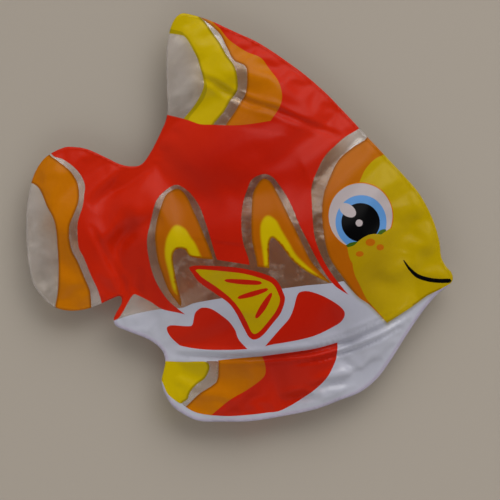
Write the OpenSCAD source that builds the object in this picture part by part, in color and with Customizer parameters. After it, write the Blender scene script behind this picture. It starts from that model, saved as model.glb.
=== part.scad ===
// Inflatable fish-shaped swimming float. Two films of PVC are welded face to
// face round a flat rim, and the air between them domes both. A push-in valve
// sits in a dimple of the back film. The float lies on its back on a floor at
// z = 0, nose towards +X, dorsal fin towards +Y, printed front upwards.

/* [Float] */
// Length from the tail to the tip of the mouth
fish_length = 540; // [430:1:660]
// Height from the belly fin to the tip of the dorsal fin
fish_height = 503; // [400:1:620]
// Rise of the front film above the seam at its highest place
front_rise = 42; // [30:0.5:55]
// Rise of the back film below the seam if nothing pressed on it
back_rise = 38; // [28:0.5:50]
// How far the floor presses the back film flat
press_flat = 5; // [3:0.5:9]
// Thickness of each film
film_t = 0.5; // [0.3:0.05:0.8]
// Width of the flat welded rim
weld_w = 4; // [3:0.5:6]

/* [Valve place] */
// Centre of the valve along the length
valve_x = -22; // [-40:1:0]
// Centre of the valve across the length
valve_y = -6; // [-15:1:10]
// Height of the dimple's flat pad above the floor
recess = 8; // [6:0.5:12]
// Radius at which the dimple has run out
dimple_r = 46; // [38:1:60]

/* [Valve] */
// Bore of the stem that the mouth or a pump nozzle blows into
bore_d = 8; // [6.5:0.1:9.6]
// Wall of the stem
stem_wall = 1.2; // [0.9:0.1:1.6]
// Length of the stem
stem_length = 16; // [13:0.5:20]
// Width that the lip and the collar stand out from the stem
rim_w = 1.8; // [1.5:0.1:2.2]
// Thickness of the stem's lip
lip_t = 1.2; // [1:0.1:1.5]
// Thickness of the stem's inner collar
collar_t = 1; // [0.8:0.1:1.4]
// Outside diameter of the flange that is welded to the back film
flange_d = 30; // [26:0.5:36]
// Thickness of the flange
flange_t = 0.8; // [0.6:0.1:1.2]
// Wall of the soft skirt that lets the stem push in
skirt_t = 0.5; // [0.4:0.05:0.7]
// Length of the plug's shaft
plug_length = 7; // [5:0.5:9]
// Thickness of the plug's head
head_t = 2; // [1.6:0.1:2.6]
// Thickness of the strap
strap_t = 0.8; // [0.6:0.1:1]
// Width of the strap
strap_w = 3; // [2.5:0.5:5]
// Thickness of the flap
flap_t = 0.8; // [0.6:0.1:1.2]
// How far the flap laps over the edge of the bore
flap_lap = 0.7; // [0.4:0.1:1]
// Diameter of the flap's hinge pin
pin_d = 1.2; // [1:0.1:1.5]

/* [Hidden] */
$fn = 48;

// The outline's knots, clockwise from the tip of the dorsal fin. The whole
// pattern is scaled to the fish's length and height.
fish_knots = [
    // dorsal fin and forehead
    [-112, 250], [-96, 251], [-71, 246], [-36, 235], [-6, 225], [43, 200],
    [76, 179], [103, 158], [139, 128], [190, 86], [213, 65], [233, 37],
    // mouth and chin
    [245, 10], [250, -9], [257, -20], [265, -27], [268, -35], [264, -43],
    [250, -58], [235, -82], [217, -118],
    // belly and belly fin
    [204, -146], [190, -171], [172, -190], [147, -204], [118, -219],
    [79, -233], [40, -244], [7, -249], [-23, -252], [-44, -246], [-59, -237],
    [-71, -222], [-76, -208], [-75, -194], [-75, -181], [-82, -169],
    [-99, -159], [-126, -152],
    // spike and root of the tail
    [-140, -148], [-145, -141], [-143, -131], [-138, -118], [-141, -110],
    [-152, -115], [-175, -129],
    // tail
    [-199, -136], [-221, -134], [-240, -121], [-253, -104], [-264, -68],
    [-270, -30], [-271, 0], [-267, 28], [-256, 50], [-236, 65], [-221, 68],
    [-204, 67], [-181, 60], [-163, 54], [-148, 53],
    // back, up to the dorsal fin
    [-136, 57], [-127, 72], [-117, 100], [-112, 123], [-116, 152],
    [-120, 179], [-123, 205], [-121, 234]
];
// The place where the float is thickest, on the same pattern
belly_place = [50, -5];
// How blunt the swell is: 1 is a tent, 0.5 is nearly round
swell = 0.62;

// Shares of the way from the valve's pad to the rim at which the mesh has rings
ring_shares = [0, 0.05, 0.11, 0.19, 0.32, 0.47, 0.62, 0.76, 0.87, 0.95, 1];
steps_per_knot = 2;

fit_gap = 0.05;   // radial, between a shaft and its bore
air = 0.2;        // between pieces that pass each other

valve_at = [valve_x, valve_y];
seam_z = back_rise + film_t - press_flat;

stem_r = bore_d / 2 + stem_wall;
rim_r = stem_r + rim_w;
flange_r = flange_d / 2;
hole_r = rim_r + skirt_t + 2 * air;
pad_r = flange_r + 2;
film_top = recess + film_t;
lip_top = recess - 2 * air;
lip_z = lip_top - lip_t;
stem_top = lip_z + stem_length;
pin_r = pin_d / 2;
pin_x = -(rim_r - pin_r - 0.5);
flap_r = bore_d / 2 + flap_lap;

// --- outline ---

// Point at share t of the way from b to c on the smooth curve through a, b, c, d
function smooth_point(a, b, c, d, t) =
    0.5 * (2 * b + (c - a) * t + (2 * a - 5 * b + 4 * c - d) * t * t
           + (3 * b - a - 3 * c + d) * t * t * t);

function smooth_loop(k, steps) = let (n = len(k)) [
    for (i = [0 : n - 1], s = [0 : steps - 1])
        smooth_point(k[(i + n - 1) % n], k[i], k[(i + 1) % n],
                     k[(i + 2) % n], s / steps)
];

// The same loop, clockwise, moved inwards by w
function inward(loop, w) = let (n = len(loop)) [
    for (i = [0 : n - 1])
        let (along = loop[(i + 1) % n] - loop[(i + n - 1) % n])
            loop[i] + w * [along.y, -along.x] / norm(along)
];

// The pattern's own size and middle, and a place on it moved to the fish's
pattern = smooth_loop(fish_knots, steps_per_knot);
pattern_low = [min([for (p = pattern) p.x]), min([for (p = pattern) p.y])];
pattern_high = [max([for (p = pattern) p.x]), max([for (p = pattern) p.y])];
function on_fish(p) =
    let (part = p - (pattern_low + pattern_high) / 2, size = pattern_high - pattern_low)
        [part.x * fish_length / size.x, part.y * fish_height / size.y];

knots = [for (k = fish_knots) on_fish(k)];
outline = [for (p = pattern) on_fish(p)];
weld_line = inward(outline, weld_w);

// --- swell of the films ---

function total(list) = list * [for (x = list) 1];

// Pull of one stretch of the seam on a place p: large close to it
function pull(p, a, b) =
    let (l = norm(b - a), u = (b - a) / l, s = (a - p) * u,
         away = max(abs(cross(a - p, u)), 0.5))
        ((s + l) / norm(b - p) - s / norm(a - p)) / (away * away);

// Distance from the seam, smooth all over the fish
function depth(p) = let (n = len(knots))
    sqrt(2 / total([for (i = [0 : n - 1]) pull(p, knots[i], knots[(i + 1) % n])]));

full_depth = depth(on_fish(belly_place)) - weld_w;

// Share of the full rise that the film reaches at p
function fullness(p) = pow(max(depth(p) - weld_w, 0) / full_depth, swell);

function ease(t) = let (c = min(max(t, 0), 1)) c * c * (3 - 2 * c);

function dimple(p) =
    recess * (1 - ease((norm(p - valve_at) - pad_r) / (dimple_r - pad_r)));

// Rings of places from the valve's pad out to the weld line
rings = [
    for (share = ring_shares) [
        for (p = weld_line)
            let (away = norm(p - valve_at))
                valve_at + (p - valve_at) / away
                    * (pad_r + (away - pad_r) * share)
    ]
];
last_ring = len(rings) - 1;
full_share = [
    for (r = [0 : last_ring])
        [for (p = rings[r]) r == last_ring ? 0 : fullness(p)]
];
centre_share = fullness(valve_at);

function front_z(r, i) = seam_z + front_rise * full_share[r][i];

function back_z(r, i) =
    r == last_ring ? seam_z - film_t
    : max(0, seam_z - film_t - back_rise * full_share[r][i])
        + dimple(rings[r][i]);

// Film of thickness t on a net of rings: low is its lower face, and a rim of
// the outline's shape closes it
module film(low, centre_low) {
    n = len(outline);
    flat_z = low[last_ring][0];
    lower = concat([for (r = [0 : last_ring], i = [0 : n - 1])
                        [rings[r][i].x, rings[r][i].y, low[r][i]]],
                   [for (p = outline) [p.x, p.y, flat_z]],
                   [[valve_x, valve_y, centre_low]]);
    count = len(lower);
    upper = [for (p = lower) p + [0, 0, film_t]];
    side = [for (r = [0 : last_ring], i = [0 : n - 1])
                [r * n + i, r * n + (i + 1) % n,
                 (r + 1) * n + (i + 1) % n, (r + 1) * n + i]];
    split = [for (q = side, half = [0, 1])
                 half == 0 ? [q[0], q[1], q[2]] : [q[0], q[2], q[3]]];
    fan = [for (i = [0 : n - 1]) [count - 1, (i + 1) % n, i]];
    edge_start = (last_ring + 1) * n;
    wall = [for (i = [0 : n - 1], half = [0, 1])
                let (a = edge_start + i, b = edge_start + (i + 1) % n)
                    half == 0 ? [a, b, b + count] : [a, b + count, a + count]];
    bottom = concat(split, fan);
    top = [for (f = bottom) [f[2] + count, f[1] + count, f[0] + count]];
    polyhedron(concat(lower, upper), concat(top, bottom, wall), convexity = 6);
}

module front_panel() {
    color("orangered")
        film([for (r = [0 : last_ring]) [for (i = [0 : len(outline) - 1]) front_z(r, i)]],
             seam_z + front_rise * centre_share);
}

module back_panel() {
    color([0.8, 0.82, 0.86, 0.6])
        difference() {
            film([for (r = [0 : last_ring]) [for (i = [0 : len(outline) - 1]) back_z(r, i)]],
                 recess);
            at_valve(recess - 1)
                cylinder(r = hole_r, h = film_t + 2);
        }
}

// --- valve ---

module at_valve(z) {
    translate([valve_x, valve_y, z])
        children();
}

module ring(outer_r, inner_r, h) {
    difference() {
        cylinder(r = outer_r, h = h);
        translate([0, 0, -1])
            cylinder(r = inner_r, h = h + 2);
    }
}

module valve_flange() {
    color("whitesmoke")
        at_valve(film_top)
            ring(flange_r, hole_r, flange_t);
}

// Soft sleeve from the flange's edge in to the stem's collar
module valve_skirt() {
    collar_z = stem_top - collar_t;
    color("gainsboro")
        translate([valve_x, valve_y, 0])
            rotate_extrude()
                polygon([[hole_r - skirt_t, film_top], [hole_r, film_top],
                         [hole_r, film_top + flange_t],
                         [rim_r, collar_z], [rim_r - skirt_t, collar_z],
                         [hole_r - skirt_t, film_top + flange_t]]);
}

// One of the two ears that carry the flap's pin
module pin_ear(side) {
    ear_w = 1.1;
    ear_inner = 2.1;
    ear_half = pin_r + 0.5;
    translate([pin_x, side * (ear_inner + ear_w / 2), stem_top])
        difference() {
            translate([-ear_half, -ear_w / 2, -0.3])
                cube([2 * ear_half, ear_w, 2 * pin_r + fit_gap + 0.8]);
            translate([0, 0, pin_r + fit_gap])
                rotate([90, 0, 0])
                    cylinder(r = pin_r + fit_gap, h = ear_w + 2, center = true);
        }
}

module valve_stem() {
    color("white")
        translate([valve_x, valve_y, 0])
            union() {
                difference() {
                    union() {
                        translate([0, 0, lip_z])
                            cylinder(r = stem_r, h = stem_length);
                        translate([0, 0, lip_z])
                            cylinder(r = rim_r, h = lip_t);
                        translate([0, 0, stem_top - collar_t])
                            cylinder(r = rim_r, h = collar_t);
                    }
                    translate([0, 0, lip_z - 1])
                        cylinder(d = bore_d, h = stem_length + 2);
                }
                pin_ear(1);
                pin_ear(-1);
            }
}

// Disc that the air inside presses on the stem's inner end
module valve_flap() {
    tongue_w = 3.8;
    pin_length = 5.6;
    color("silver")
        at_valve(stem_top + fit_gap) {
            cylinder(r = flap_r, h = flap_t);
            translate([pin_x, -tongue_w / 2, 0.2])
                cube([-pin_x, tongue_w, flap_t - 0.2]);
            translate([pin_x, 0, pin_r])
                rotate([90, 0, 0])
                    cylinder(r = pin_r, h = pin_length, center = true);
        }
}

module valve_plug() {
    shaft_r = bore_d / 2 - fit_gap;
    lead_in = 1;
    grip_l = 4;
    grip_w = 6;
    color("white")
        at_valve(lip_z)
            union() {
                translate([0, 0, -head_t])
                    cylinder(r = rim_r, h = head_t);
                cylinder(r = shaft_r, h = plug_length - lead_in);
                translate([0, 0, plug_length - lead_in])
                    cylinder(r1 = shaft_r, r2 = shaft_r - lead_in / 2, h = lead_in);
                // finger tab
                translate([rim_r - 1, -grip_w / 2, -head_t])
                    cube([grip_l, grip_w, head_t / 2]);
                translate([rim_r - 1 + grip_l, 0, -head_t])
                    cylinder(d = grip_w, h = head_t / 2);
            }
}

// Bend that ties the plug's head to the stem's lip
module plug_strap() {
    upper_z = lip_z + lip_t / 2;
    lower_z = lip_z - head_t / 2;
    bend_r = (upper_z - lower_z) / 2;
    leg = 3;
    color("white")
        at_valve(lower_z + bend_r)
            translate([-rim_r, strap_w / 2, 0])
                rotate([90, 0, 0])
                    linear_extrude(strap_w)
                        strap_profile(bend_r, leg);
}

// The legs start a little inside the round edges that they join
module strap_profile(bend_r, leg) {
    difference() {
        union() {
            translate([-leg, 0])
                circle(r = bend_r + strap_t / 2);
            translate([-leg, -bend_r - strap_t / 2])
                square([leg, 2 * bend_r + strap_t]);
        }
        translate([-leg, 0])
            circle(r = bend_r - strap_t / 2);
        translate([-leg, -bend_r + strap_t / 2])
            square([leg + 1, 2 * bend_r - strap_t]);
    }
}

front_panel();
back_panel();
valve_flange();
valve_skirt();
valve_stem();
valve_flap();
valve_plug();
plug_strap();
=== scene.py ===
# %% [markdown]
# # An inflatable fish float
# A child's swimming float is two sheets of thin vinyl film, cut to one outline and welded together
# round the edge. The front sheet is printed, the back sheet is clear and carries the valve.

# %% Load the CAD frame
import math

import bpy
import numpy as np
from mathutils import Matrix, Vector, geometry
from mathutils.bvhtree import BVHTree
from mathutils.kdtree import KDTree


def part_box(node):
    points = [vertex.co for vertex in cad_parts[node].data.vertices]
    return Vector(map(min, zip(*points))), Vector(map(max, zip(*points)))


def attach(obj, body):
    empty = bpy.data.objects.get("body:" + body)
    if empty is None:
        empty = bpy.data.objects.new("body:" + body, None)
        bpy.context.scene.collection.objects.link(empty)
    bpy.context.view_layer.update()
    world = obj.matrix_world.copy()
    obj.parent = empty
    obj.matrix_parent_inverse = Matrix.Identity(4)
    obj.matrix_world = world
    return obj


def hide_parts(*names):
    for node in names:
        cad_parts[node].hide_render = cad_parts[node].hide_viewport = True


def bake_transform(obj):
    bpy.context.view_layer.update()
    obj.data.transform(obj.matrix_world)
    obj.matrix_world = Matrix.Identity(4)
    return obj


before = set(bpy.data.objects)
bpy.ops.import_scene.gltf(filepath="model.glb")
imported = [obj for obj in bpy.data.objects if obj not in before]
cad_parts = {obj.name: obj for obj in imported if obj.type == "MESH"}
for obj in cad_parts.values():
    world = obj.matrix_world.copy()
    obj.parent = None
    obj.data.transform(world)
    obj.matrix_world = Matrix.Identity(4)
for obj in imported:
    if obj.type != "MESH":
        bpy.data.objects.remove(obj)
scene = bpy.context.scene
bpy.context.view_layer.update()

# %% [markdown]
# ## Camera
# The float is looked at from straight above, with the fish turned a few degrees. A long lens from
# high up keeps the print's proportions, because the belly is 4 cm nearer to the camera than the weld.

# %% Camera
camera_height = 3.4
seen_width = 0.625  # metres of floor from the left to the right of the picture
seam_level = 0.0335  # height of the weld above the floor
picture_turn = math.radians(7.4)
picture_middle = (0.014, -0.0315)

camera_data = bpy.data.cameras.new("camera")
camera_data.lens = camera_data.sensor_width * (camera_height - seam_level) / seen_width
camera_data.clip_end = 20
camera = bpy.data.objects.new("camera", camera_data)
camera.location = (*picture_middle, camera_height)
camera.rotation_euler = (0, 0, picture_turn)
scene.collection.objects.link(camera)
scene.camera = camera
print("lens:", round(camera_data.lens), "mm")

# %% [markdown]
# ## Outline of the fish
# The outline is a closed curve through knots, which were picked on the photograph and turned
# into millimetres on the flat pattern. A knot with a third number, 1, is a corner. The curve is a
# Catmull-Rom spline, which passes through all its knots.

# %% Smooth closed curves
def smooth_path(knots, step=2.0):
    """Points about step apart on a closed curve through the knots."""
    points, count = [], len(knots)
    for i in range(count):
        b, c = knots[i], knots[(i + 1) % count]
        a = b if len(b) > 2 else knots[i - 1]
        d = c if len(c) > 2 else knots[(i + 2) % count]
        a, b, c, d = (np.array(k[:2], float) for k in (a, b, c, d))
        pieces = max(1, round(np.linalg.norm(c - b) / step))
        for t in np.arange(pieces) / pieces:
            points.append(0.5 * (2 * b + (c - a) * t + (2 * a - 5 * b + 4 * c - d) * t * t
                                 + (3 * b - a - 3 * c + d) * t ** 3))
    return np.array(points)

# %% Outline
fish_knots = [
    # dorsal fin and forehead
    (-112, 250), (-96, 251), (-71, 246), (-36, 235), (-6, 225), (43, 200), (76, 179), (103, 158),
    (139, 128), (190, 86), (213, 65), (233, 37),
    # mouth and chin
    (245, 10), (250, -9), (257, -20), (265, -27), (268, -35), (264, -43), (250, -58), (235, -82),
    (217, -118),
    # belly and belly fin
    (204, -146), (190, -171), (172, -190), (147, -204), (118, -219), (79, -233), (40, -244),
    (7, -249), (-23, -252), (-44, -246), (-59, -237), (-71, -222), (-76, -208), (-75, -194),
    (-75, -181), (-82, -169), (-99, -159), (-126, -152),
    # spike and root of the tail
    (-140, -148), (-145, -141), (-143, -131), (-138, -118), (-141, -110), (-152, -115), (-175, -129),
    # tail
    (-199, -136), (-221, -134), (-240, -121), (-253, -104), (-264, -68), (-270, -30), (-271, 0),
    (-267, 28), (-256, 50), (-236, 65), (-221, 68), (-204, 67), (-181, 60), (-163, 54), (-148, 53),
    # back, up to the dorsal fin
    (-136, 57), (-127, 72), (-117, 100), (-112, 123), (-116, 152), (-120, 179), (-123, 205),
    (-121, 234)]

pattern_rim = smooth_path(fish_knots)
pattern_middle = (pattern_rim.min(0) + pattern_rim.max(0)) / 2
pattern_size = pattern_rim.max(0) - pattern_rim.min(0)
film_low, film_high = (np.array(corner)[:2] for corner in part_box("front_panel"))


def on_fish(points):
    """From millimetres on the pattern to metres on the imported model."""
    share = (np.asarray(points, float) - pattern_middle) / pattern_size
    return share * (film_high - film_low) + (film_low + film_high) / 2


rim = on_fish(pattern_rim)
print("outline:", len(rim), "points,", (film_high - film_low).round(4), "m across")

# %% Which side of the outline a point is on
def inside(points, loop):
    """True for each point that lies in the loop."""
    ahead = np.roll(loop, -1, 0)
    slope = (ahead[:, 0] - loop[:, 0]) / (ahead[:, 1] - loop[:, 1] + 1e-12)
    found = np.zeros(len(points), bool)
    near = np.flatnonzero(((points >= loop.min(0)) & (points <= loop.max(0))).all(1))
    for part in np.array_split(near, len(near) // 3000 + 1):
        x, y = points[part, :1], points[part, 1:2]
        crosses = (loop[:, 1] > y) != (ahead[:, 1] > y)
        found[part] = (crosses & (x < loop[:, 0] + (y - loop[:, 1]) * slope)).sum(1) % 2 == 1
    return found


def even_loop(loop, step):
    """The loop again, in equal steps of about this length."""
    closed = np.vstack([loop, loop[:1]])
    along = np.concatenate([[0], np.cumsum(np.linalg.norm(np.diff(closed, axis=0), axis=1))])
    stops = np.linspace(0, along[-1], max(8, round(along[-1] / step)), endpoint=False)
    return np.stack([np.interp(stops, along, closed[:, k]) for k in (0, 1)], 1)


def pull_in(loop, width):
    """The loop moved inwards. It runs clockwise, so inwards is to its right."""
    along = np.roll(loop, -1, 0) - np.roll(loop, 1, 0)
    along /= np.linalg.norm(along, axis=1)[:, None]
    return loop + width * np.stack([along[:, 1], -along[:, 0]], 1)

# %% Distances on the flat pattern
def tree_of(points):
    """A search tree of flat points."""
    tree = KDTree(len(points))
    for i, p in enumerate(points):
        tree.insert((*p, 0), i)
    tree.balance()
    return tree


def distance(points, tree):
    """How far each point is from the nearest point of the tree."""
    return np.array([tree.find((*p, 0))[2] for p in points.tolist()])

# %% Triangles over a flat pattern
row_gap = 0.866  # between rows of even triangles, in cells
clear_gap = 0.55  # a grid point nearer than this to a drawn line is left out, in cells
least_area = 1e-10


def triangulate(loops, cell, limit, lines=()):
    """A flat mesh inside limit, with every loop and line kept as edges and small cells between."""
    points, edges = [], []
    for path, closed in [(p, 1) for p in loops] + [(p, 0) for p in lines]:
        start, count = len(points), len(path)
        points += [Vector(p) for p in path.tolist()]
        edges += [(start + i, start + (i + 1) % count) for i in range(count - 1 + closed)]
    drawn = tree_of(points)
    low, high = limit.min(0), limit.max(0)
    rows = []
    for j, y in enumerate(np.arange(low[1], high[1], cell * row_gap)):
        x = np.arange(low[0] + (j % 2) * cell / 2, high[0], cell)
        rows.append(np.stack([x, np.full_like(x, y)], 1))
    grid = np.vstack(rows)
    grid = grid[inside(grid, limit)].tolist()
    points += [Vector(p) for p in grid if drawn.find((*p, 0))[2] > cell * clear_gap]
    places, _, faces, *_ = geometry.delaunay_2d_cdt(points, edges, [], 0, 1e-6)
    places, faces = np.array([tuple(p) for p in places]), np.array(faces)
    a, b, c = (places[faces[:, k]] for k in (0, 1, 2))
    area = (b - a)[:, 0] * (c - a)[:, 1] - (b - a)[:, 1] * (c - a)[:, 0]
    faces[area < 0] = faces[area < 0][:, ::-1]
    faces = faces[(abs(area) > least_area) & inside((a + b + c) / 3, limit)]
    used, faces = np.unique(faces, return_inverse=True)
    return places[used], faces.reshape(-1, 3)

# %% [markdown]
# ## Air
# A flat sheet can't bulge two ways at once, so a blown bag puckers at its seam. Blender's Cloth
# finds that shape better than any hand. Two flat sheets share their points along the weld,
# pressure blows them apart, and a negative shrink gives the film a little spare length. The weld is
# pinned to its line, which waves up and down a little, as a welded edge does. The middle is then
# eased, because the larger folds follow later. The result is kept as a coarse bag, which
# the fine films are laid on afterwards.

# %% The flat bag
weld_width = 0.004
bag_cell = 0.005
bag_edge = even_loop(rim, bag_cell)
bag_weld = pull_in(bag_edge, weld_width)
flat, sheet = triangulate([bag_weld], bag_cell, bag_weld)


def seam_wave(points):
    """Height of the seam, which waves along its length and droops at the tail."""
    x, y = points[:, 0], points[:, 1]
    droop = 0.004 * np.maximum(-x - 0.15, 0) / 0.12
    return (seam_level + 0.0013 * np.sin(52 * x + 31 * y + 1)
            + 0.0009 * np.sin(118 * x - 87 * y) - droop)


away = distance(flat, tree_of(bag_weld))
on_weld = away < 1e-5
level = seam_wave(flat)
lower = np.arange(len(flat))
lower[~on_weld] = len(flat) + np.arange((~on_weld).sum())
first_slope, slope_reach = 0.08, 0.03  # the sheets start a little apart, so that air can enter
lift = first_slope * np.minimum(away, slope_reach)
upper_points = np.column_stack([flat, level + lift])
lower_points = np.column_stack([flat, level - lift])[~on_weld]
bag_faces = np.vstack([sheet, lower[sheet][:, ::-1]])
print("bag:", len(upper_points) + len(lower_points), "points,", on_weld.sum(), "on the weld")

# %% Blow it up
bag_mesh = bpy.data.meshes.new("bag")
bag_mesh.from_pydata(np.vstack([upper_points, lower_points]).tolist(), [], bag_faces.tolist())
on_weld_of_bag = np.concatenate([on_weld, np.zeros(len(lower_points), bool)])
bag_mesh.polygons.foreach_set("material_index", np.repeat([0, 1], len(sheet)).astype("i"))
for finish_name in ("front", "back"):
    bag_mesh.materials.append(bpy.data.materials.new("bag_" + finish_name))
bag = bpy.data.objects.new("bag", bag_mesh)
scene.collection.objects.link(bag)
welded = [e.index for e in bag_mesh.edges if on_weld_of_bag[list(e.vertices)].all()]
sharp = bag_mesh.attributes.new("crease_edge", "FLOAT", "EDGE")
for i in welded:
    sharp.data[i].value = 1.0
pins = bag.vertex_groups.new(name="weld")
pins.add(np.flatnonzero(on_weld).tolist(), 1.0, "REPLACE")

cloth = bag.modifiers.new("air", "CLOTH")
cloth.settings.quality = 8
cloth.settings.mass = 0.05
for key in ("tension", "compression"):
    setattr(cloth.settings, key + "_stiffness", 60)
    setattr(cloth.settings, key + "_damping", 5)
cloth.settings.shear_stiffness, cloth.settings.shear_damping = 30, 5
cloth.settings.bending_stiffness = 40
cloth.settings.air_damping = 2
cloth.settings.use_pressure = True
cloth.settings.uniform_pressure_force = 10
cloth.settings.shrink_min = -0.03
cloth.settings.vertex_group_mass = "weld"
cloth.settings.effector_weights.gravity = 0
cloth.collision_settings.use_collision = False
last_frame = 30
cloth.point_cache.frame_end = last_frame
for step in range(1, last_frame + 1):
    scene.frame_set(step)
scene.frame_set(last_frame)

# %% Keep the blown shape
for o in bpy.context.selected_objects:
    o.select_set(False)
bpy.context.view_layer.objects.active = bag
bag.select_set(True)
bpy.ops.object.modifier_apply(modifier="air")
middle = bag.vertex_groups.new(name="middle")
middle_starts, middle_full = 0.010, 0.040  # metres from the weld
far_in = np.concatenate([away, away[~on_weld]]) - middle_starts
far_in = np.clip(far_in / (middle_full - middle_starts), 0, 1)
for i, share in enumerate(far_in.tolist()):
    middle.add([i], share, "REPLACE")
ease = bag.modifiers.new("ease", "SMOOTH")
ease.factor, ease.iterations, ease.vertex_group = 0.5, 6, "middle"
bpy.ops.object.modifier_apply(modifier="ease")
smoother = bag.modifiers.new("smoother", "SUBSURF")
smoother.levels = smoother.render_levels = 1
bpy.ops.object.modifier_apply(modifier="smoother")
scene.frame_set(1)
blown = np.array([tuple(v.co) for v in bag.data.vertices])
print("blown bag: z from", blown[:, 2].min().round(4), "to", blown[:, 2].max().round(4))


def half_of_bag(side):
    return BVHTree.FromPolygons(
        blown.tolist(), [tuple(p.vertices) for p in bag.data.polygons if p.material_index == side])


bag_front, bag_back = half_of_bag(0), half_of_bag(1)
bpy.data.objects.remove(bag)

# %% [markdown]
# ## Inks
# Each ink is a patch with its own closed curve on the pattern, through knots picked in the same
# way. A patch may run out past the rim, where the film ends anyway. Later patches cover earlier
# ones, as printing passes do, and what none covers is bare clear film.

# %% Patches of the tail, fins and body
patches = [
    ("orange", "tail band", [
        (-268, 16), (-260, 12), (-253, 3), (-245, -11), (-236, -23), (-230, -38), (-226, -59),
        (-221, -89), (-219, -114), (-221, -145, 1), (-174, -145, 1), (-175, -128), (-179, -108),
        (-188, -92), (-199, -73), (-207, -62), (-212, -48), (-214, -31), (-211, -18), (-207, 1),
        (-210, 19), (-216, 30), (-225, 39), (-240, 48), (-251, 54), (-264, 66, 1), (-285, 20, 1)]),
    ("olive", "dorsal fin, shaded edge", [
        (-128, 224, 1), (-110, 224), (-101, 221), (-90, 207), (-81, 193), (-74, 176), (-71, 164),
        (-74, 151), (-81, 136), (-92, 119, 1), (-60, 100, 1), (-60, 160), (-80, 205), (-95, 235, 1),
        (-110, 262, 1), (-135, 245, 1)]),
    ("yellow", "dorsal fin", [
        (-128, 230, 1), (-112, 229), (-104, 226), (-93, 214), (-84, 199), (-76, 181), (-67, 165),
        (-68, 151), (-75, 137), (-84, 122), (-86, 108, 1), (-56, 105, 1), (-53, 117), (-42, 135),
        (-36, 150), (-29, 164), (-31, 180), (-37, 194), (-48, 206), (-58, 220), (-70, 233),
        (-81, 245), (-94, 255), (-100, 265, 1), (-135, 255, 1)]),
    ("orange", "dorsal fin", [
        (-95, 262, 1), (-87, 250), (-72, 241), (-59, 231), (-49, 216), (-38, 201), (-23, 195),
        (-19, 183), (-18, 162), (-24, 147), (-29, 135), (-37, 119), (-40, 105, 1), (40, 120, 1),
        (40, 190, 1), (-20, 225, 1), (-60, 255, 1)]),
    ("white", "belly", [
        (-150, -143, 1), (-145, -142), (-128, -133), (-104, -124), (-87, -119), (-62, -114),
        (-47, -106), (-16, -96), (20, -85), (58, -74), (88, -66), (115, -60), (132, -55, 1),
        (151, -71), (169, -81), (192, -99, 1), (224, -74), (239, -60), (254, -50), (266, -40, 1),
        (290, -60, 1), (230, -220, 1), (60, -280, 1), (-90, -270, 1), (-160, -160, 1)]),
    ("red", "body", [
        # tail edge, then the rim under the tail and the spike
        (-262, 70, 1), (-247, 54), (-234, 51), (-219, 43), (-209, 34), (-202, 22), (-201, 11),
        (-201, -5), (-204, -23), (-203, -37), (-199, -56), (-191, -68), (-180, -88), (-169, -106),
        (-162, -124), (-160, -135, 1), (-150, -143, 1), (-140, -138), (-135, -129), (-130, -116),
        (-125, -106), (-119, -106), (-102, -112), (-86, -119), (-64, -121), (-57, -122, 1),
        (-78, -109), (-91, -96), (-102, -80), (-111, -58), (-116, -35), (-114, -8), (-111, 14),
        (-102, 28), (-90, 37), (-78, 34), (-67, 26), (-56, 13), (-47, -4), (-39, -21), (-29, -44),
        (-26, -49, 1), (14, -50, 1), (12, -43), (3, -24), (-2, -4), (-4, 21), (-1, 41), (4, 56),
        (17, 64), (28, 62), (37, 54), (49, 40), (60, 23), (69, 7), (79, -8), (94, -30), (107, -47),
        (122, -62), (140, -71, 1), (121, -53), (108, -38), (99, -25), (90, -7), (85, 12), (81, 35),
        (78, 57), (83, 79), (90, 97), (99, 109), (111, 123), (128, 137), (136, 146, 1),
        # round the forehead outside the rim, then down the fin's edge
        (60, 215, 1), (-30, 262, 1), (-74, 262, 1), (-71, 247), (-60, 238), (-49, 227), (-36, 219),
        (-22, 213), (-5, 208), (7, 196), (20, 182), (27, 165), (26, 150), (17, 131, 1), (-10, 123),
        (-32, 119), (-55, 117), (-70, 116), (-88, 120), (-114, 123, 1), (-150, 120, 1),
        (-160, 80, 1), (-230, 90, 1)]),
]
print(len(patches), "patches so far")

# %% Patches of the flames on the side
rear_lobe = [(-60, -49), (-67, -42), (-74, -41), (-80, -45), (-81, -55), (-75, -76)]
front_lobe = [(95, -53), (79, -46), (65, -37), (56, -28), (47, -19), (38, -13), (35, -19),
              (36, -30), (39, -51, 1)]
patches += [
    ("flame", "rear flame", [
        (-64, -113, 1), (-81, -95), (-93, -73), (-100, -57), (-106, -33), (-107, -12), (-104, 8),
        (-100, 23), (-89, 32), (-80, 30), (-71, 20), (-63, 7), (-53, -9), (-45, -23), (-36, -39),
        (-31, -49, 1), (-47, -50), *rear_lobe, (-69, -93), (-64, -106)]),
    ("flame", "rear flame, yellow", [
        (-70, -98, 1), (-76, -92), (-84, -72), (-91, -52), (-92, -34), (-88, -20), (-82, -13),
        (-71, -16), (-63, -25), (-55, -34), (-46, -49, 1), *rear_lobe]),
    ("flame", "front flame", [
        (24, -51, 1), (21, -41), (13, -18), (9, 8), (7, 34), (10, 48), (17, 58), (26, 56),
        (35, 45), (46, 29), (57, 12), (67, -3), (78, -20), (90, -37), (105, -50), (117, -60, 1),
        *front_lobe]),
    ("flame", "front flame, yellow", [
        (33, -51, 1), (28, -31), (23, -12), (22, 3), (28, 13), (39, 9), (48, -3), (59, -17),
        (69, -30), (83, -41), (100, -52), (113, -58, 1), *front_lobe]),
]

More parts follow.
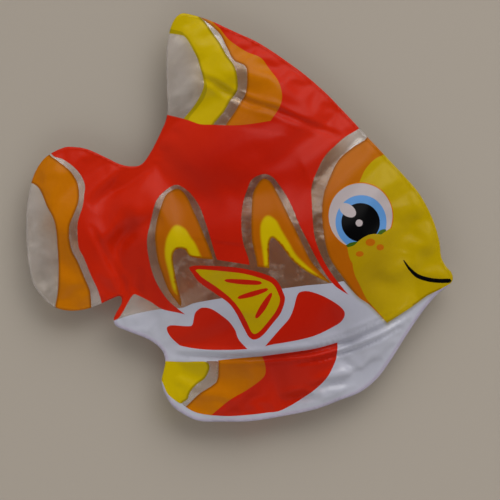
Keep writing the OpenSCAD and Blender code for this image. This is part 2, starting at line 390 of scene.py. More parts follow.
# %% Patches of the belly, its fins and the head
fin_yellow_side = [(-20, -180), (-19, -187), (-23, -198), (-33, -208), (-39, -218), (-41, -227),
                   (-47, -233)]
fin_orange_side = [(-42, -237, 1), (-35, -228), (-26, -217), (-12, -205), (-7, -196)]
patches += [
    ("red", "rear belly patch", [
        (-78, -142), (-74, -138), (-66, -137), (-53, -136), (-47, -134), (-46, -126), (-45, -118),
        (-40, -112), (-34, -110), (-24, -111), (-10, -118), (-1, -124), (7, -133), (13, -144),
        (25, -154, 1), (4, -158), (-28, -162), (-54, -162), (-63, -159), (-74, -150)]),
    ("red", "front belly patch", [
        (77, -81), (81, -75), (91, -73), (107, -76), (123, -82), (135, -89), (139, -96),
        (136, -105), (127, -113), (107, -126), (85, -135), (53, -145), (46, -148, 1), (61, -125),
        (71, -110), (75, -96)]),
    ("red", "side fin, outline", [
        (-57, -61), (-15, -56), (13, -56), (39, -60), (51, -66), (60, -79), (63, -88), (60, -104),
        (52, -118), (42, -134), (33, -141), (25, -139), (16, -127), (5, -111), (-6, -100),
        (-25, -90), (-44, -80), (-53, -71)]),
    ("yellow", "side fin", [
        (-49, -64), (-15, -62), (11, -62), (36, -66), (47, -71), (54, -81), (57, -89), (54, -102),
        (47, -115), (38, -129), (32, -134), (27, -132), (20, -121), (9, -106), (-4, -94),
        (-22, -83), (-40, -74), (-47, -69)]),
    ("yellow", "belly fin", [
        (-90, -185, 1), (-71, -183), (-51, -181), (-26, -177), *fin_yellow_side, (-53, -232),
        (-66, -224), (-73, -213), (-78, -205, 1), (-95, -200, 1)]),
    ("clear", "belly fin, gap", [
        (-24, -176, 1), (-9, -174, 1), *fin_orange_side[::-1], *fin_yellow_side[::-1]]),
    ("orange", "belly fin", [
        (-9, -173, 1), (20, -166), (48, -160, 1), (60, -180, 1), (20, -225), (-9, -243, 1),
        (-22, -243), (-33, -241), *fin_orange_side]),
    ("red", "belly fin", [
        (44, -161, 1), (69, -154), (108, -143), (135, -132, 1), (136, -142), (135, -157),
        (126, -180), (107, -202), (78, -225), (59, -231), (39, -236), (15, -241), (-9, -243, 1),
        (11, -221), (30, -206), (46, -191), (51, -182), (49, -170)]),
    # The head's orange and yellow are darker copies of the orange and yellow inks, which is painted
    # shade.
    ("amber", "face", [
        (132, 140, 1), (139, 127), (123, 112), (108, 95), (100, 74), (94, 49), (95, 24), (100, 1),
        (107, -20), (116, -35), (134, -54), (151, -71), (169, -81), (193, -100, 1), (230, -60, 1),
        (230, 60, 1), (165, 125, 1)]),
    ("mustard", "face", [
        (172, 120, 1), (163, 109), (152, 101), (142, 87), (137, 72), (133, 55), (130, 35),
        (130, 10), (133, -5), (136, -15), (139, -28), (144, -44), (153, -58), (164, -74),
        (180, -88), (193, -100, 1), (224, -74), (239, -60), (254, -50), (267, -40, 1),
        (295, -30, 1), (270, 40, 1), (215, 120, 1)]),
]

# %% Ovals and strokes
def oval(x, y, wide, high, turn=0.0):
    """Knots of an oval with these half sizes."""
    c, s = math.cos(math.radians(turn)), math.sin(math.radians(turn))
    ring = [(wide * math.cos(a), high * math.sin(a)) for a in np.arange(12) * math.pi / 6]
    return [(x + c * u - s * v, y + s * u + c * v) for u, v in ring]


def stroke(path, widths):
    """Knots round a brush stroke along the path, this wide at each of its knots."""
    path = np.array(path, float)
    along = np.gradient(path, axis=0)
    along /= np.linalg.norm(along, axis=1)[:, None]
    across = np.stack([-along[:, 1], along[:, 0]], 1) * np.array(widths)[:, None] / 2
    sides = np.vstack([path + across, (path - across)[::-1]])
    return [tuple(p) for p in sides]

# %% Eye, cheek, smile and fin rays
patches += [
    ("orange", "eye, outline", oval(143, 28, 41.4, 42.4)),
    ("eye white", "eye", oval(143, 28, 40, 41)),
    ("blue", "eye", oval(144.5, 20.5, 32, 33.7)),
    ("black", "eye, pupil", oval(144, 20, 24.2, 24.2)),
    ("eye white", "eye, glint", oval(126, 33, 11.5, 7.5, -28)),
    ("eye white", "eye, spark", oval(142, 19, 4.5, 4.5)),
    ("green", "cheek over blue, rear", [
        (129, -11, 1), (131, -9), (134.5, -6.5), (138.5, -5), (143, -4, 1), (141, -8), (134, -13)]),
    ("green", "cheek over blue, front", [
        (166, 8, 1), (168, 12), (171, 14.5), (176, 16, 1), (177, 11), (171, 6)]),
    # The cheek takes the darker yellow too, painted shade.
    ("mustard", "cheek", [
        (131, -13, 1), (136, -11), (140, -8.5), (143, -4.5), (148, 0.5), (154, 5), (160, 7.5),
        (166, 8.5), (171, 8.5), (175, 12), (182, 18, 1), (195, -10), (170, -35), (141, -32)]),
    ("orange", "freckle, upper", oval(159, -3, 6.2, 4.6, 12)),
    ("orange", "freckle, front", oval(172, -7.5, 4.8, 4, 12)),
    ("orange", "freckle, rear", oval(147.5, -19, 5, 3.5, 12)),
    ("black", "smile", stroke([(203.5, -19.5), (209, -26), (214.5, -31), (224, -37), (237, -39.5),
                               (251, -39.5), (265, -37.5)], [1.2, 2.8, 3.8, 5, 5.2, 5.2, 4.6])),
    ("red", "side fin, upper ray", stroke([(-12, -73), (9, -72), (30, -70.5)], [3.5, 6.3, 4])),
    ("red", "side fin, middle ray", stroke([(6.5, -92), (23, -85), (39, -77.5)], [3.5, 6.5, 3.5])),
    ("red", "side fin, lower ray", stroke([(31, -113), (38, -98.5), (45, -82.5)], [4, 7.5, 3.5])),
]
print(len(patches), "patches:", sorted({ink for ink, *_ in patches}))

# %% [markdown]
# ## Folds
# A float that isn't blown tight keeps creases where it was folded in its box and where its outline
# turns. A fold here is a listed line, with a depth and a width: the film dips along it and
# stands up in a soft lip beside it. The lines become edges of the film, so that a crease can be
# sharper than a cell.

# %% Folds of the front film
folds = [
    # (line, depth, width, lip), all in millimetres
    ([(-92, 178), (-60, 169), (-38, 158), (-10, 150), (20, 145), (60, 134), (110, 122)], 3.6, 4.0, 1.8),
    ([(-92, 14), (-59, 26), (-23, 33), (20, 48), (66, 76)], 8.5, 25.0, 2.5),
    ([(-130, 62), (-146, 44), (-162, 28), (-178, 10), (-190, -6)], 5.5, 8.5, 1.2),
    ([(-100, -6), (-116, -14), (-132, -24), (-146, -36), (-153, -50), (-154, -64), (-148, -84)],
     7.5, 10.0, 2.0),
    ([(-188, -26), (-174, -48), (-160, -68), (-144, -88)], 2.4, 3.6, 0.8),
    ([(-148, -80), (-140, -98), (-134, -118), (-132, -134)], 3.2, 5.0, 1.2),
    ([(-120, -70), (-122, -96), (-112, -112)], 2.0, 5.0, 0.8),
    ([(-80, -176), (-40, -172), (0, -168), (50, -160), (100, -148), (150, -128), (200, -98),
      (246, -66)], 6.0, 3.8, 3.0),
    ([(84, -165), (118, -155), (150, -141), (186, -121), (222, -95)], 3.6, 2.4, 2.2),
    ([(100, -139), (136, -125), (170, -106), (204, -84)], 2.6, 2.2, 1.8),
    ([(112, -198), (130, -186), (152, -180), (176, -166), (194, -144)], 7.0, 6.0, 3.2),
    ([(74, -214), (100, -206), (128, -206)], 4.6, 5.0, 2.2),
    ([(140, -150), (156, -160), (176, -182)], 3.0, 5.0, 1.6),
    ([(66, -4), (84, -22), (96, -34)], 1.6, 4.0, 0.6),
    ([(196, 48), (206, 20), (204, -10)], 3.0, 14.0, 0.8),
    ([(168, -44), (190, -62), (214, -72)], 2.4, 12.0, 0.8),
]


lip_place = 1.9  # how far the lip stands from the line, in widths of the fold
lip_share = 0.5  # height of the lip on the lower side, as a share of the other
fold_reach = 0.04  # no fold is felt further than this from its line


def fold_height(points, line, depth, width, lip):
    """How far one fold moves each point up or down."""
    path = on_fish(line)
    a, b = path[:-1], path[1:]
    span = b - a
    length = (span ** 2).sum(1)
    rise = np.zeros(len(points))
    low, high = path.min(0) - fold_reach, path.max(0) + fold_reach
    near = np.flatnonzero(((points > low) & (points < high)).all(1))
    to = points[near][:, None] - a[None]
    share = np.clip((to * span).sum(2) / length, 0, 1)
    gap = to - share[..., None] * span
    best = (gap ** 2).sum(2).argmin(1)
    pick = np.arange(len(near))
    side = np.sign(span[best, 0] * to[pick, best, 1] - span[best, 1] * to[pick, best, 0])
    off = side * np.sqrt((gap[pick, best] ** 2).sum(1)) * 1000 / width
    along = (best + share[pick, best]) / len(a)
    taper = np.sin(math.pi * np.clip(along, 0, 1)) ** 0.6
    lips = np.exp(-(off - lip_place) ** 2) + lip_share * np.exp(-(off + lip_place) ** 2)
    rise[near] = taper * (lip * lips - depth * np.exp(-off ** 2))
    return rise / 1000

# %% [markdown]
# ## The printed film
# The film's own mesh is far finer than the bag. Its edges follow the outline, every ink and every
# fold, so that each ink ends on a clean curve. Each point is then dropped on the blown bag.

# %% Lay a flat mesh on the blown bag
film_gauge = 0.0005


def height_on(tree, points, way):
    """Height of the bag over each point, looking down (-1) or up (1) at it."""
    heights = []
    for x, y in points.tolist():
        hit = tree.ray_cast((x, y, -way), (0, 0, way))[0]
        hit = hit or tree.find_nearest((x, y, seam_level))[0]
        heights.append(hit.z)
    return np.array(heights)


def build_film(name, plan, faces, heights, up, finish_of_face, finishes):
    """The outer side of a film that rests on these heights."""
    mesh = bpy.data.meshes.new(name)
    outer = np.column_stack([plan, heights + (film_gauge if up else -film_gauge)])
    mesh.from_pydata(outer.tolist(), [], (faces if up else faces[:, ::-1]).tolist())
    for finish in finishes:
        mesh.materials.append(finish)
    mesh.polygons.foreach_set("material_index", np.asarray(finish_of_face, "i"))
    mesh.polygons.foreach_set("use_smooth", np.ones(len(faces), bool))
    film = bpy.data.objects.new(name, mesh)
    scene.collection.objects.link(film)
    return film


def thicken(film):
    """Gives the film its real thickness, inwards from its outer side."""
    bpy.context.view_layer.objects.active = film
    wall = film.modifiers.new("wall", "SOLIDIFY")
    wall.thickness = film_gauge
    wall.offset = -1
    bpy.ops.object.modifier_apply(modifier="wall")
    print(film.name, "has", len(film.data.polygons), "faces")


def add_attribute(film, name, values):
    film.data.attributes.new(name, "FLOAT", "POINT").data.foreach_set("value", values.astype("f"))

# %% Plan of the printed film
film_cell = 0.003
drawn = [on_fish(smooth_path(knots)) for _, _, knots in patches]
creases = []
for line, *_ in folds:
    path = on_fish(smooth_path([(*line[0], 1), *line[1:-1], (*line[-1], 1)]))
    path = path[:np.linalg.norm(path - on_fish([line[-1]]), axis=1).argmin() + 1]
    creases.append(path)
plan, cells = triangulate([rim, *drawn], film_cell, rim, creases)
middles = plan[cells].mean(1)
ink_names = ["clear", "red", "orange", "yellow", "mustard", "amber", "flame", "olive", "white",
             "eye white", "blue", "green", "black"]
ink_of_cell = np.zeros(len(cells), int)
for (ink, _, _), loop in zip(patches, drawn):
    ink_of_cell[inside(middles, loop)] = ink_names.index(ink)
print("printed film:", len(plan), "points;", {
    n: int((ink_of_cell == i).sum()) for i, n in enumerate(ink_names)})

# %% Heights of the printed film
def share_between(values, low, high):
    """0 below low, 1 above high, smooth between."""
    t = np.clip((values - low) / (high - low), 0, 1)
    return t * t * (3 - 2 * t)


rim_tree = tree_of(rim)
front_edge = distance(plan, rim_tree)
front_heights = height_on(bag_front, plan, -1)
front_crown = 0.0760  # highest place of the bag's front
belly_starts, belly_full = 0.006, 0.04  # metres from the rim
least_slope, guard_reach = 0.05, 0.02  # the films part at least this fast, out to this far
swell = (front_crown - seam_level) / (front_heights.max() - seam_level)
well_in = share_between(front_edge, belly_starts, belly_full)
front_heights += well_in * (front_heights - seam_level) * (swell - 1)
ease_in = np.clip((front_edge - weld_width) / 0.012, 0, 1)
for fold in folds:
    front_heights += ease_in * fold_height(plan, *fold)
seam_under = seam_wave(plan)
least_height = seam_under + least_slope * np.minimum(front_edge, guard_reach)
front_heights = np.where(front_edge < weld_width, seam_under, np.maximum(front_heights, least_height))
print("front film: z to", front_heights.max().round(4), "swell", round(float(swell), 3))

# %% [markdown]
# ## The clear back film
# The back lies on the floor, so its belly is pressed flat there. Round the valve it is drawn up
# into a dimple, because the valve sits sunk in the film when the float is full.

# %% Plan and heights of the back film
valve_low, valve_high = (np.array(c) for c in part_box("valve_flange"))
valve_place = ((valve_low + valve_high) / 2)[:2]
flange_radius = (valve_high - valve_low)[0] / 2
hole_radius, dimple_radius = 0.0079, 0.046
inner_ring, outer_ring = 0.0115, 0.020  # more rings of edges, so that the pad stays even
press_depth = 0.006  # how far the belly would hang below the floor
floor_gap, floor_bend = 0.0006, 0.0016  # height of the flat patch, and softness of its edge


def ring(radius, count):
    turn = np.arange(count) * 2 * math.pi / count
    return valve_place + radius * np.stack([np.cos(turn), -np.sin(turn)], 1)


back_plan, back_cells = triangulate(
    [rim, ring(hole_radius, 48), ring(inner_ring, 48), ring(flange_radius, 56),
     ring(outer_ring, 56)], film_cell * 1.15, rim)
in_hole = inside(back_plan[back_cells].mean(1), ring(hole_radius, 48))
kept, back_cells = np.unique(back_cells[~in_hole], return_inverse=True)
back_plan, back_cells = back_plan[kept], back_cells.reshape(-1, 3)
back_edge = distance(back_plan, rim_tree)
back_heights = height_on(bag_back, back_plan, 1)
press = (seam_level + press_depth) / (seam_level - back_heights.min())
sunk = seam_level + (back_heights - seam_level) * press
rested = 0.5 * (sunk + np.sqrt(sunk ** 2 + floor_bend ** 2)) + floor_gap
well_in = share_between(back_edge, belly_starts, belly_full)
rested = back_heights + (rested - back_heights) * well_in
spoke = back_plan - valve_place
reach = np.linalg.norm(spoke, axis=1)
pad_level = valve_low[2]
share = share_between(reach, flange_radius + 0.002, dimple_radius)
pleat_count, pleat_height = 13, 0.0006
pleat = pleat_height * np.sin(math.pi * share) ** 2
pleat *= np.sin(pleat_count * np.arctan2(spoke[:, 1], spoke[:, 0]))
back_heights = pad_level + (rested - pad_level) * share + pleat
seam_over = seam_wave(back_plan)
most_height = seam_over - least_slope * np.minimum(back_edge, guard_reach)
back_heights = np.where(back_edge < weld_width, seam_over, np.minimum(back_heights, most_height))
print("back film:", len(back_plan), "points, z from", back_heights.min().round(5))

# %% [markdown]
# ## Shader sums
# A material is easier to read as sums than as boxes and wires. `Value` stands for one socket, and
# Python's own operators add the Math nodes. `Finish` makes a material, and its `add` makes any node.

# %% Values and finishes
class Value:
    """A socket that can be used in Python sums."""

    def __init__(self, finish, socket):
        self.finish, self.socket = finish, socket

    def math(self, operation, *others):
        inputs = dict(enumerate((self, *others)))
        return self.finish.add("Math", {"operation": operation}, inputs)

    def __add__(self, other):
        return self.math("ADD", other)

    def __mul__(self, other):
        return self.math("MULTIPLY", other)

    def __sub__(self, other):
        return self.math("SUBTRACT", other)

    def __rsub__(self, other):
        return self.finish.add("Math", {"operation": "SUBTRACT"}, {0: other, 1: self})

    __radd__, __rmul__ = __add__, __mul__

    def ramp(self, low, high):
        """0 below low, 1 above high, and smooth between."""
        return self.finish.add("MapRange", {"interpolation_type": "SMOOTHSTEP", "clamp": True},
                               {0: self, 1: low, 2: high})


class Finish:
    """A material, or a world, made of nodes."""

    def __init__(self, name, holder=None):
        self.material = holder or bpy.data.materials.new(name)
        self.material.use_nodes = True
        self.tree = self.material.node_tree
        self.tree.nodes.clear()

    def add(self, kind, settings=(), inputs=(), output=0):
        node = self.tree.nodes.new("ShaderNode" + kind)
        for key, value in dict(settings).items():
            setattr(node, key, value)
        for key, value in dict(inputs).items():
            if isinstance(value, Value):
                self.tree.links.new(value.socket, node.inputs[key])
            else:
                node.inputs[key].default_value = value
        return Value(self, node.outputs[output]) if len(node.outputs) else None

    def place(self):
        return self.add("TexCoord", output="Object")

    def noise(self, scale, detail=2.0, rough=0.5):
        return self.add("TexNoise", {}, {"Vector": self.place(), "Scale": scale,
                                         "Detail": detail, "Roughness": rough})

    def attribute(self, name):
        return self.add("Attribute", {"attribute_name": name}, output="Fac")

    def mix(self, factor, first, second):
        return self.add("Mix", {"data_type": "RGBA"}, {0: factor, 6: first, 7: second}, 2)

    def bump(self, height, strength, distance, normal=None):
        inputs = {"Height": height, "Strength": strength, "Distance": distance}
        if normal:
            inputs["Normal"] = normal
        return self.add("Bump", {}, inputs)

    def done(self, surface):
        self.add("OutputMaterial", {}, {"Surface": surface})
        return self.material


def srgb(red, green, blue):
    """A colour as it is seen, turned into the linear numbers that shaders use."""
    parts = (red, green, blue)
    return [((v / 255 + 0.055) / 1.055) ** 2.4 if v > 10 else v / 3295 for v in parts] + [1]

# %% [markdown]
# ## Film finishes
# Ink on vinyl has a satin face: its colour is even, with a faint mottle from the print, and its
# gloss is broken by the film's fine slack. The welded edge has the pressed line of the welding bar.

# %% Relief that every film shares
def film_relief(finish, crinkle):
    """Fine slack, a faint grain, and the pressed lines of the weld."""
    edge = finish.attribute("edge_mm")
    slack = finish.noise(34, 2.0, 0.45) * 0.9 + finish.noise(95, 1.0) * 0.25
    grain = finish.noise(1500, 0.0)
    line = (edge - 2.1).math("ABSOLUTE").ramp(0.25, 0.8)
    pressed = 1 - edge.ramp(3.2, 4.4)
    ribs = finish.add("TexWave", {"wave_type": "BANDS", "bands_direction": "DIAGONAL"},
                      {"Vector": finish.place(), "Scale": 260.0, "Distortion": 0.0})
    soft = finish.bump(slack, crinkle, 0.004)
    fine = finish.bump(grain, 0.06, 0.0003, soft)
    weld = (1 - line) * 0.6 + pressed * ribs * 0.4
    return finish.bump(weld * pressed, 0.35, 0.0006, fine)


ink_shade = 0.92  # how much of a shadow ray passes on through the ink, stained
ink_fringe = (0.6, 3.8)  # millimetres from bare film over which a border fades
satin_gloss, satin_coat = 0.26, 0.14


def ink_surface(finish, tone, stain, gloss=satin_gloss, coat=satin_coat):
    """Satin ink over film. Light that goes on through it is stained by its colour."""
    ink = finish.add("BsdfPrincipled", {}, {
        "Base Color": tone, "Roughness": 0.6, "Normal": film_relief(finish, 0.06),
        "Specular IOR Level": 0.0, "Coat Weight": coat, "Coat Roughness": gloss})
    stained = finish.add("BsdfTransparent", {}, {"Color": [v ** 0.3 for v in stain]})
    shadow = finish.add("LightPath", output="Is Shadow Ray")
    return finish.done(finish.add("MixShader", {}, {0: shadow * ink_shade, 1: ink, 2: stained}))


def ink_tone(finish, colour, shaded_tone):
    """The ink's colour near the floor, and a darker tone, painted shade, where the bag below is deep.
    """
    # Painted shade: the darker tone takes over as the bag below gets deeper.
    deep = finish.attribute("depth_mm").ramp(12, 62)
    drift = finish.noise(9, 3.0, 0.55).ramp(0.35, 0.7)
    mottle = finish.noise(160, 2.0, 0.6).ramp(0.3, 0.75)
    return finish.mix(deep * 0.72 + drift * 0.22 + mottle * 0.10, colour, shaded_tone)


def at_fringe(finish):
    return 1 - finish.attribute("ink_edge_mm").ramp(*ink_fringe)


def ink_finish(name, colour, shaded_tone, border=None, gloss=satin_gloss, coat=satin_coat):
    """An ink, with a darker border where it has one."""
    finish = Finish(name)
    tone = ink_tone(finish, colour, shaded_tone)
    if border:
        tone = finish.mix(at_fringe(finish), tone, border)
    return ink_surface(finish, tone, colour, gloss, coat)


def pearl_finish(name, colour, shaded_tone, face_shadow, weld_tone):
    """The glossy white of the belly, with a painted shadow beside the face's ink and a lilac tone on
    the weld.
    """
    finish = Finish(name)
    tone = ink_tone(finish, colour, shaded_tone)
    # Painted shadow: within 5 mm of the face's ink the white turns olive.
    beside_face = 1 - finish.attribute("face_mm").ramp(0.0, 5.0)
    on_rim = 1 - finish.attribute("edge_mm").ramp(2.6, 5.5)
    tone = finish.mix(beside_face * 0.6, tone, face_shadow)
    tone = finish.mix(on_rim * 0.8, tone, weld_tone)
    return ink_surface(finish, tone, colour, gloss=0.22, coat=0.8)


def flame_finish(name, outside, inside_tone, border):
    """Orange that turns into yellow over a few millimetres."""
    finish = Finish(name)
    tone = finish.mix(finish.attribute("yellow_mm").ramp(-2.4, 2.4), outside, inside_tone)
    tone = finish.mix(finish.noise(12, 3.0).ramp(0.4, 0.7) * 0.12, tone, border)
    tone = finish.mix(at_fringe(finish) * 0.85, tone, border)
    return ink_surface(finish, tone, outside)

# %% Inks
# In each ink the first colour is its own and the second is painted shade, for where the bag below is
# deep.
inks = {
    "red": ink_finish("red_ink", srgb(188, 34, 9), srgb(170, 24, 7)),
    "orange": ink_finish("orange_ink", srgb(188, 110, 2), srgb(160, 82, 1), srgb(142, 78, 2)),
    "yellow": ink_finish("yellow_ink", srgb(188, 162, 2), srgb(168, 140, 1), srgb(136, 116, 2)),
    # Darker copies of yellow and orange for the head, which is painted shade.
    "mustard": ink_finish("shaded_yellow_ink", srgb(174, 147, 2), srgb(150, 122, 1), srgb(136, 112, 2)),
    "amber": ink_finish("shaded_orange_ink", srgb(172, 95, 2), srgb(156, 80, 1), srgb(136, 74, 2)),
    "flame": flame_finish("flame_ink", srgb(164, 86, 2), srgb(188, 164, 2), srgb(128, 72, 2)),
    "olive": ink_finish("olive_ink", srgb(158, 138, 3), srgb(140, 120, 2)),
    # The white's third colour is a painted shadow beside the face, and its fourth a lilac tone on the
    # weld.
    "white": pearl_finish("pearl_ink", srgb(176, 177, 189), srgb(160, 160, 174),
                          srgb(128, 118, 72), srgb(166, 156, 176)),
    "eye white": ink_finish("eye_white_ink", srgb(172, 162, 164), srgb(162, 151, 153)),
    "blue": ink_finish("blue_ink", srgb(86, 136, 190), srgb(80, 128, 184)),
    "green": ink_finish("green_ink", srgb(62, 92, 14), srgb(52, 80, 10)),
    "black": ink_finish("black_ink", srgb(1, 1, 2), srgb(2, 2, 3), gloss=0.30, coat=0.08),
}


def clear_finish(name, haze):
    """Bare vinyl: clear with a sheen and milky in places; where the bag below it is deep, painted shade
    turns it brown and less milky, and a whitish mottle there is a painted reflection.
    """
    finish = Finish(name)
    normal = film_relief(finish, 0.6)
    edge = 1 - finish.attribute("edge_mm").ramp(0.2, 4.2)
    deep = finish.attribute("depth_mm").ramp(5, 40)
    cloud = finish.noise(14, 4.0, 0.6).ramp(0.35, 0.75)
    # Painted reflection: a whitish milky mottle, only where the bag below is deep.
    mottle = finish.noise(62, 3.0, 0.6).ramp(0.48, 0.70) * deep
    sheen = finish.add("Fresnel", {}, {"IOR": 1.5, "Normal": normal})
    open_film = finish.add("BsdfTransparent", {}, {"Color": (1.0, 0.99, 0.975, 1)})
    # Painted shade: a brown tint where the bag below is deep.
    shadowed_film = finish.add("BsdfTransparent", {}, {"Color": (0.95, 0.75, 0.51, 1)})
    through = finish.add("MixShader", {}, {0: deep, 1: open_film, 2: shadowed_film})
    gloss = finish.add("BsdfAnisotropic", {}, {"Color": (1, 1, 1, 1), "Roughness": 0.13,
                                               "Normal": normal})
    milk = finish.add("BsdfPrincipled", {}, {"Base Color": srgb(228, 218, 212), "Roughness": 0.3,
                                             "Normal": normal})
    clear = finish.add("MixShader", {}, {0: sheen * 0.8, 1: through, 2: gloss})
    # Painted shade also takes the milk away where the bag is deep.
    return finish.done(finish.add("MixShader", {}, {
        0: haze * (0.6 + cloud) * (1 - deep * 0.8) + edge * 0.08 + mottle * 0.09,
        1: clear, 2: milk}))


clear_film = clear_finish("clear_film", 0.17)
print(len(inks) + 1, "film finishes")

# %% [markdown]
# ## Distances for the finishes
# The finishes need to know where on the float they are: how near the rim, how near the edge of an
# ink, and how deep the bag is below. Each distance is measured once, in millimetres, and stored on
# the points of the film, where the shaders read it.

# %% How far each point of the print is from bare film
bare_tree = tree_of(plan[np.unique(cells[ink_of_cell == 0])])
ink_edge = np.minimum(distance(plan, bare_tree), 0.01)
print("points on the edge of an ink:", int((ink_edge == 0).sum()))


def beside(points, patch):
    """Distance of each point from the edge of a patch, in millimetres."""
    loops = [loop for (_, name, _), loop in zip(patches, drawn) if name == patch]
    return distance(points, tree_of(np.vstack(loops))) * 1000


def yellow_reach(points):
    """How far inside (+) or outside (-) the yellow of a flame each point is, in millimetres."""
    reach = np.full(len(points), -99.0)
    for (_, name, _), loop in zip(patches, drawn):
        if name.endswith("flame, yellow"):
            border = loop[distance(loop, bare_tree) > 0.001]  # not where it ends at bare film
            gap = distance(points, tree_of(border)) * 1000
            reach = np.maximum(reach, np.where(inside(points, loop), gap, -gap))
    return reach

# %% Build the two films
front_film = build_film("front_film", plan, cells, front_heights, True, ink_of_cell,
                        [clear_film] + [inks[n] for n in ink_names[1:]])
add_attribute(front_film, "edge_mm", front_edge * 1000)
add_attribute(front_film, "ink_edge_mm", ink_edge * 1000)
add_attribute(front_film, "yellow_mm", yellow_reach(plan))
add_attribute(front_film, "face_mm", beside(plan, "face"))
add_attribute(front_film, "depth_mm", (front_heights - height_on(bag_back, plan, 1)) * 1000)
thicken(front_film)
back_film = build_film("back_film", back_plan, back_cells, back_heights, False,
                       np.zeros(len(back_cells), int), [clear_film])
add_attribute(back_film, "edge_mm", back_edge * 1000)
thicken(back_film)
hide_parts("front_panel")
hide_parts("back_panel")
for film, finish_slot in ((front_film, "printed_film"), (back_film, "clear_film")):
    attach(film, "float")

# %% [markdown]
# ## The valve
# The stem, its flap, the plug and the flange are turned and moulded pieces with exact sizes, so they
# stay as they come from the CAD. Two soft pieces join what moves: a thin sleeve lets the stem drop
# out of its dimple, and a strap holds the plug. The sleeve is a ring that is extruded again and
# again, and the strap is a small plate that is extruded and spun round its bend.

# %% Valve vinyl
def vinyl_finish(name, colour, shade):
    finish = Finish(name)
    drift = finish.noise(120, 3.0, 0.5).ramp(0.3, 0.7)
    grain = finish.bump(finish.noise(2600, 1.0), 0.12, 0.0002)
    return finish.done(finish.add("BsdfPrincipled", {}, {
        "Base Color": finish.mix(drift, colour, shade), "Roughness": 0.28 + drift * 0.12,
        "Normal": grain, "IOR": 1.5, "Coat Weight": 0.2}))


valve_vinyl = vinyl_finish("valve_vinyl", srgb(232, 231, 228), srgb(218, 216, 212))
for node in ("valve_flange", "valve_stem", "valve_flap", "valve_plug"):
    data = bpy.data.objects[node].data
    data.materials.clear()
    data.materials.append(valve_vinyl)

# %% Start and finish a modelled piece
def start_piece(name, add, **sizes):
    """Adds a primitive, opens it for editing and returns it."""
    for o in bpy.context.selected_objects:
        o.select_set(False)
    add(**sizes)
    piece = bpy.context.object
    piece.name = name
    bpy.ops.object.mode_set(mode="EDIT")
    bpy.ops.mesh.select_all(action="SELECT")
    return piece


def finish_piece(piece, node):
    """Closes the edit and gives the piece its finish."""
    bpy.ops.mesh.select_all(action="SELECT")
    bpy.ops.mesh.remove_doubles(threshold=1e-6)
    bpy.ops.mesh.normals_make_consistent(inside=False)
    bpy.ops.object.mode_set(mode="OBJECT")
    bpy.ops.object.transform_apply(location=True, rotation=True, scale=True)
    piece.data.materials.append(valve_vinyl)
    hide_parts(node)
    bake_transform(piece)


def add_modifier(piece, kind, **settings):
    modifier = piece.modifiers.new(kind.lower(), kind)
    for key, value in settings.items():
        setattr(modifier, key, value)
    bpy.ops.object.modifier_apply(modifier=modifier.name)

# %% Sleeve between the flange and the top of the stem
sleeve_low, sleeve_high = (np.array(c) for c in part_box("valve_skirt"))
sleeve_radius = (sleeve_high - sleeve_low)[0] / 2
sleeve_rise = (sleeve_high - sleeve_low)[2]
sleeve_wall = 0.0005
sleeve = start_piece("valve_sleeve", bpy.ops.mesh.primitive_circle_add, vertices=48,
                     radius=sleeve_radius, location=(*valve_place, sleeve_low[2]))
rings = [(0.0, 1.0), (0.07, 1.0), (0.16, 0.985), (0.27, 0.955), (0.38, 0.975), (0.50, 0.935),
         (0.61, 0.955), (0.73, 0.910), (0.84, 0.925), (0.94, 0.888), (1.0, 0.886)]
for (up_a, wide_a), (up_b, wide_b) in zip(rings, rings[1:]):
    bpy.ops.mesh.extrude_edges_move(
        TRANSFORM_OT_translate={"value": (0, 0, float((up_b - up_a) * sleeve_rise))})
    ratio = wide_b / wide_a
    bpy.ops.transform.resize(value=(ratio, ratio, 1))
bpy.ops.mesh.select_all(action="SELECT")
bpy.ops.mesh.normals_make_consistent(inside=False)
bpy.ops.object.mode_set(mode="OBJECT")
add_modifier(sleeve, "SOLIDIFY", thickness=sleeve_wall, offset=-1)
bpy.ops.object.shade_smooth_by_angle(angle=math.radians(50))
bpy.ops.object.mode_set(mode="EDIT")
finish_piece(sleeve, "valve_skirt")
print("sleeve:", len(sleeve.data.polygons), "faces")

# %% Strap between the stem and the plug
strap_low, strap_high = (np.array(c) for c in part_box("plug_strap"))
strap_gauge = 0.0008
leg_steps = (0.2, 0.3, 0.3, 0.2)
bend_radius = (strap_high - strap_low)[2] / 2 - strap_gauge / 2
strap_middle = (strap_low + strap_high) / 2
bend_x = strap_low[0] + bend_radius + strap_gauge / 2
strap = start_piece("plug_strap_band", bpy.ops.mesh.primitive_plane_add, size=1,
                    location=(strap_high[0], strap_middle[1], strap_high[2] - strap_gauge / 2),
                    rotation=(0, -math.pi / 2, 0))
bpy.ops.transform.resize(value=(1, (strap_high - strap_low)[1], strap_gauge))
for step in leg_steps:
    bpy.ops.mesh.extrude_region_move(
        TRANSFORM_OT_translate={"value": (float((bend_x - strap_high[0]) * step), 0, 0)})
bpy.ops.mesh.spin(steps=8, angle=math.pi, center=(bend_x, strap_middle[1], strap_middle[2]),
                  axis=(0, 1, 0))
for step in leg_steps:
    bpy.ops.mesh.extrude_region_move(
        TRANSFORM_OT_translate={"value": (float((strap_high[0] - bend_x) * step), 0, 0)})
bpy.ops.object.mode_set(mode="OBJECT")
add_modifier(strap, "BEVEL", width=0.00018, segments=2, limit_method="ANGLE")
bpy.ops.object.shade_smooth_by_angle(angle=math.radians(40))
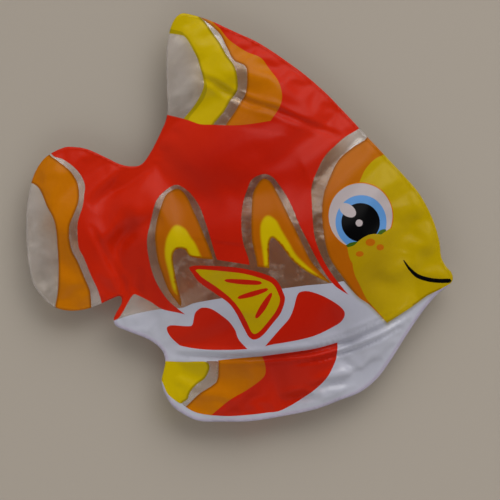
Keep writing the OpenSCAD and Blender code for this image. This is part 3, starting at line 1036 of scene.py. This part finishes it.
bpy.ops.object.mode_set(mode="EDIT")
finish_piece(strap, "plug_strap")
print("strap:", len(strap.data.polygons), "faces,", [round(v, 5) for v in strap.dimensions])

# %% [markdown]
# ## Floor and light
# The floor is plain and pale. One large soft lamp and a weak one opposite show the folds, and the
# room round them is a bright wall with a window in it, which the glossy film mirrors.

# %% Floor
bpy.ops.mesh.primitive_plane_add(size=6, location=(0, 0, 0))
floor = bpy.context.object
floor.name = "floor"
bpy.ops.object.transform_apply(location=True, rotation=True, scale=True)
floor_finish = Finish("floor_matt")
floor.data.materials.append(floor_finish.done(floor_finish.add(
    "BsdfPrincipled", {}, {"Base Color": srgb(166, 157, 146), "Roughness": 0.75,
                           "Specular IOR Level": 0.3})))

# %% Lights
lamp_target = (0, 0, 0.03)


def soft_light(name, place, wide, power):
    data = bpy.data.lights.new(name, "AREA")
    data.shape, data.size, data.energy = "SQUARE", wide, power
    light = bpy.data.objects.new(name, data)
    light.location = place
    aim = Vector(place) - Vector(lamp_target)
    light.rotation_euler = aim.to_track_quat("Z", "Y").to_euler()
    scene.collection.objects.link(light)
    print(name, "of", power, "watts,", wide, "m wide")


soft_light("lamp", (0.9, 1.5, 1.4), 1.4, 8)
soft_light("fill", (0.1, -1.9, 1.6), 1.8, 5)
room = Finish("room", bpy.data.worlds.new("room"))
scene.world = room.material
way = room.add("TexCoord", output="Generated")
height = room.add("SeparateXYZ", {}, {0: way}, 2)
window = Vector((0.12, 0.78, 0.58)).normalized()
toward = room.add("VectorMath", {"operation": "DOT_PRODUCT"}, {0: way, 1: window}, "Value")
ceiling_glow, wall_glow, window_glow = 0.17, 0.46, 2.7
glow = (ceiling_glow + (1 - height.ramp(0.66, 0.96)) * wall_glow
        + toward.ramp(0.82, 0.99) * window_glow)
light_of_room = room.add("Background", {}, {"Color": (1.0, 0.985, 0.96, 1), "Strength": glow})
room.add("OutputWorld", {}, {"Surface": light_of_room})
scene.cycles.transparent_max_bounces = 32
scene.view_settings.view_transform = "Standard"
